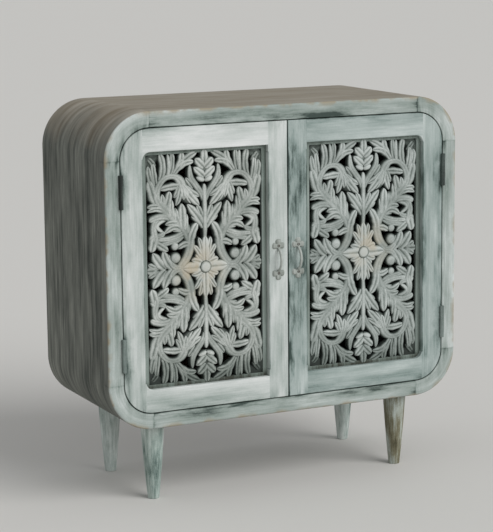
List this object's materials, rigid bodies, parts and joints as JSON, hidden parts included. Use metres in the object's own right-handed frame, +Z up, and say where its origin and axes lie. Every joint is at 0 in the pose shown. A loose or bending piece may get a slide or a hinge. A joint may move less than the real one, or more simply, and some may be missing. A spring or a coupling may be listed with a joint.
{
  "type": "sideboard",
  "caption": "Round-cornered two-door sideboard with pierced carved door panels, a face frame, bow pull handles, a shelf and turned tapered legs, in brushed worn paint.",
  "frame": {"origin": "on the floor, under the middle of the whole object's box, pull handles included", "axes": "+X to the right seen from the front, +Y to the back, +Z up"},
  "size_m": [0.9, 0.41, 0.9],
  "materials": {
    "case_paint": "worn grey-green brushed paint over wood",
    "frame_paint": "worn pale grey-green brushed paint",
    "door_paint": "worn pale grey-green brushed paint",
    "carving_paint": "pale paint rubbed off a dark green ground",
    "leg_paint": "worn pale paint",
    "raw_wood": "bare oiled wood",
    "hinge_iron": "painted over, worn",
    "handle_iron": "painted over, worn",
    "screw_steel": "dull steel",
    "catch_plastic": "matt brown"
  },
  "bodies": {
    "case": {"top_panel": "case_paint", "bottom_panel": "case_paint", "left_side_panel": "case_paint", "right_side_panel": "case_paint", "top_left_corner": "case_paint", "top_right_corner": "case_paint", "bottom_left_corner": "case_paint", "bottom_right_corner": "case_paint", "carcass_dowels": "raw_wood", "back_panel": "raw_wood", "back_panel_screws": "screw_steel", "frame_top_rail": "frame_paint", "frame_bottom_rail": "frame_paint", "frame_left_stile": "frame_paint", "frame_right_stile": "frame_paint", "frame_top_left_corner": "frame_paint", "frame_top_right_corner": "frame_paint", "frame_bottom_left_corner": "frame_paint", "frame_bottom_right_corner": "frame_paint", "shelf": "raw_wood", "left_shelf_cleat": "raw_wood", "right_shelf_cleat": "raw_wood", "cleat_screws": "screw_steel", "front_left_leg": "leg_paint", "front_right_leg": "leg_paint", "back_left_leg": "leg_paint", "back_right_leg": "leg_paint", "leg_bolts": "screw_steel", "leg_washers": "screw_steel", "leg_nuts": "screw_steel", "left_frame_hinge_leaves": "hinge_iron", "right_frame_hinge_leaves": "hinge_iron", "hinge_pins": "hinge_iron", "frame_hinge_screws": "screw_steel", "magnetic_catch": "catch_plastic", "catch_magnets": "screw_steel", "catch_screw": "screw_steel"},
    "left_door": {"left_door_hinge_stile": "door_paint", "left_door_meeting_stile": "door_paint", "left_door_top_rail": "door_paint", "left_door_bottom_rail": "door_paint", "left_door_carved_panel": "carving_paint", "left_door_panel_beads": "raw_wood", "left_door_hinge_leaves": "hinge_iron", "left_door_hinge_screws": "screw_steel", "left_door_pull_handle": "handle_iron", "left_door_handle_screws": "screw_steel", "left_door_strike_plate": "screw_steel"},
    "right_door": {"right_door_hinge_stile": "door_paint", "right_door_meeting_stile": "door_paint", "right_door_top_rail": "door_paint", "right_door_bottom_rail": "door_paint", "right_door_carved_panel": "carving_paint", "right_door_panel_beads": "raw_wood", "right_door_hinge_leaves": "hinge_iron", "right_door_hinge_screws": "screw_steel", "right_door_pull_handle": "handle_iron", "right_door_handle_screws": "screw_steel", "right_door_strike_plate": "screw_steel"}
  },
  "joints": [
    {"name": "left_door_hinge", "type": "hinge", "parent": "case", "child": "left_door", "pos_m": [-0.413, -0.188, 0.54], "axis": [0, 0, -1], "range_deg": [0, 165]},
    {"name": "right_door_hinge", "type": "hinge", "parent": "case", "child": "right_door", "pos_m": [0.413, -0.188, 0.54], "axis": [0, 0, 1], "range_deg": [0, 165]}
  ]
}
